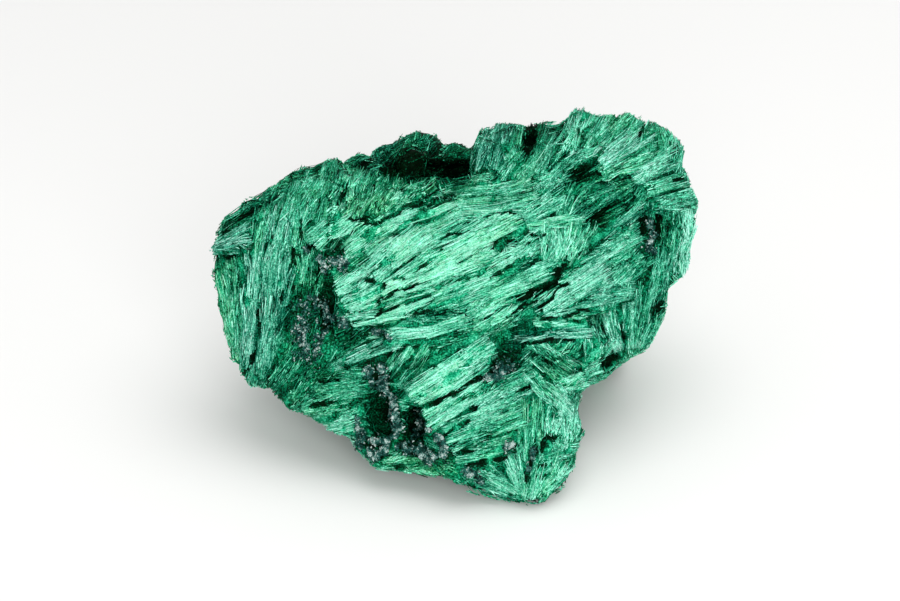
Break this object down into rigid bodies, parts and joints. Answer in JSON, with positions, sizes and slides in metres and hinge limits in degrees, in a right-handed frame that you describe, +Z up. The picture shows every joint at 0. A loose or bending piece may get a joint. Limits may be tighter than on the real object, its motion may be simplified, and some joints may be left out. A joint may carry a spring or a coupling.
{
  "type": "fibrous malachite mineral specimen",
  "caption": "Loose mineral specimen: a mass of fibrous green malachite in fans and sheaves, with pits and ledges, resting on the low points of its underside.",
  "frame": {"origin": "centre of the bounding box's base, on the surface that the specimen rests on", "axes": "+X along the long side, to the right as the fibrous display side is seen; -Y towards the viewer of that side; +Z up"},
  "size_m": [0.0815, 0.0646, 0.0487],
  "materials": {
    "malachite": "silky fibrous",
    "dark_crust": "dull, rough"
  },
  "bodies": {
    "root": {"malachite_mass": "malachite"}
  },
  "joints": []
}
